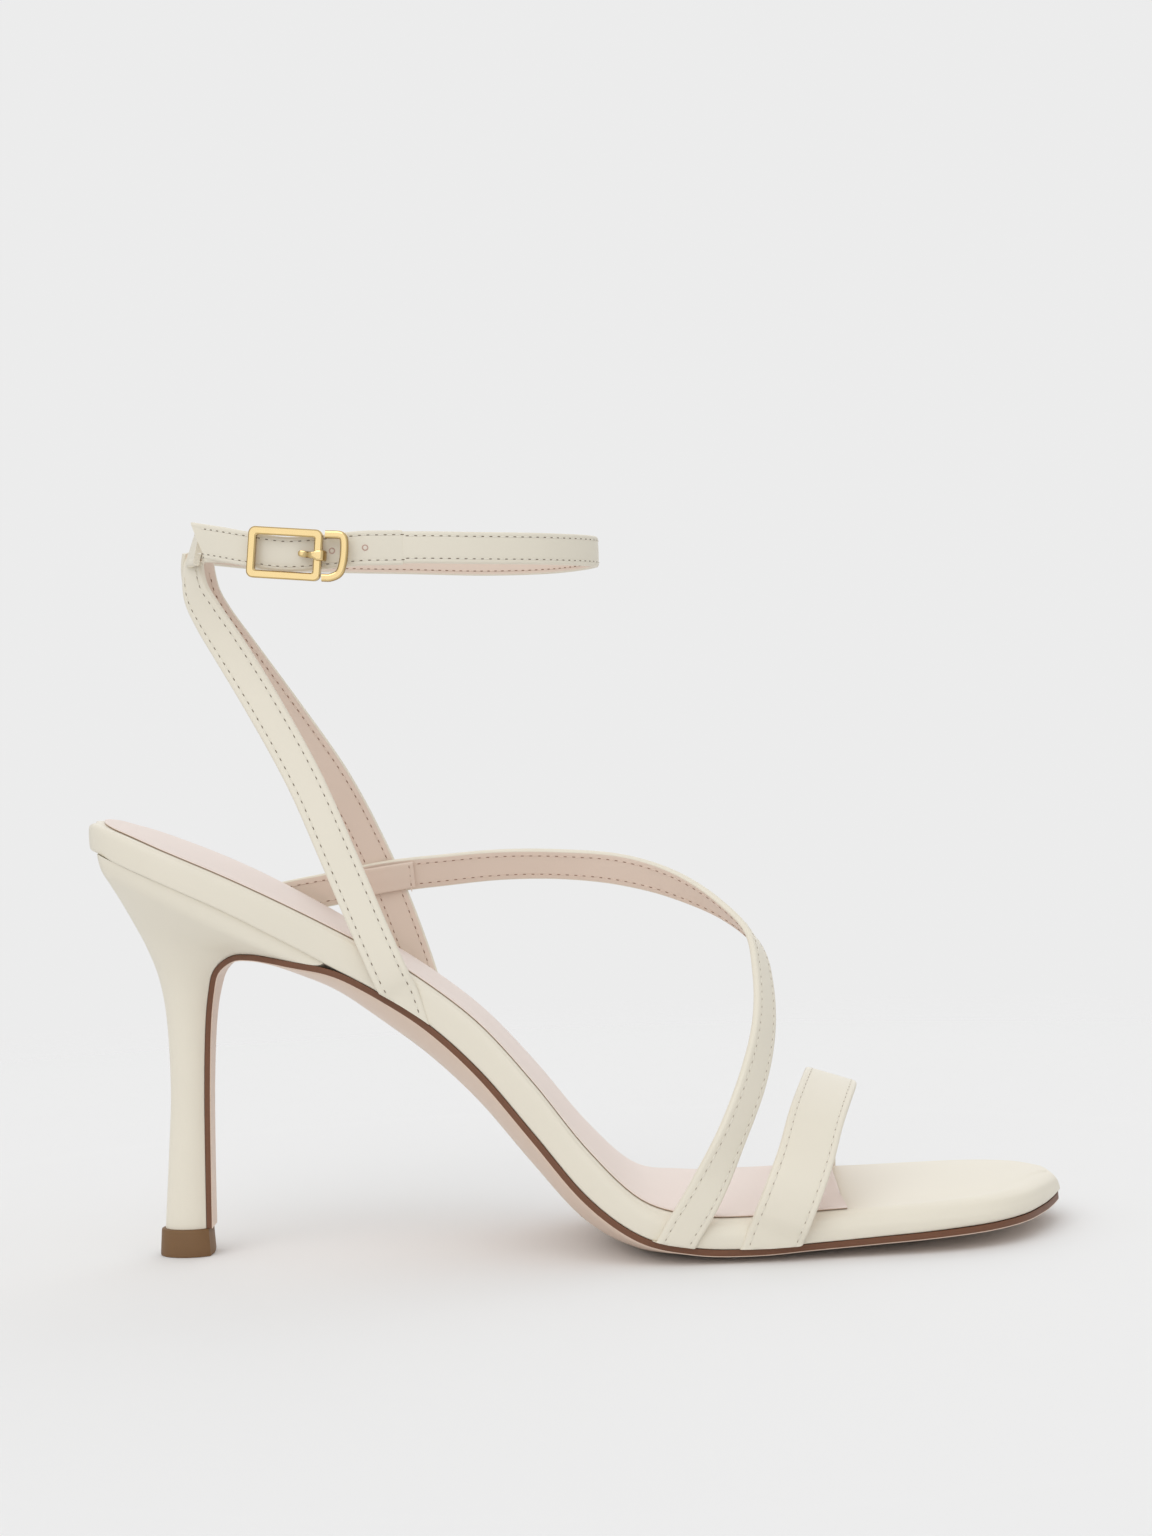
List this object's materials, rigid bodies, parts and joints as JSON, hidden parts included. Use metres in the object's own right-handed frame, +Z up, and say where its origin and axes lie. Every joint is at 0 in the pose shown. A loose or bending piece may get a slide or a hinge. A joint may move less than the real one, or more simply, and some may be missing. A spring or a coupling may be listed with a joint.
{
  "type": "strappy heeled sandal",
  "caption": "High-heeled open sandal with a slim stiletto-style heel, a toe strap, a diagonal instep strap, heel legs and a buckled ankle strap.",
  "frame": {"origin": "on the floor, in the middle of the top lift's flat underside", "axes": "+X towards the toe, +Y to the inner side of the foot, +Z up"},
  "size_m": [0.2227, 0.0768, 0.1681],
  "materials": {
    "wrapped_leather": "smooth cream leather, satin",
    "strap_leather": "smooth cream leather with edge stitching, satin",
    "sock_leather": "smooth blush lining leather, matt",
    "sole_leather": "thin beige sole leather with a brown painted edge, satin",
    "lift_rubber": "brown rubber, matt",
    "gilt_metal": "polished gold plate"
  },
  "bodies": {
    "root": {"platform": "wrapped_leather", "insole_sock": "sock_leather", "outsole": "sole_leather", "heel": "wrapped_leather", "top_lift": "lift_rubber", "toe_strap": "strap_leather", "upper_straps": "strap_leather", "buckle_frame": "gilt_metal", "buckle_prong": "gilt_metal", "keeper_ring": "gilt_metal"}
  },
  "joints": []
}
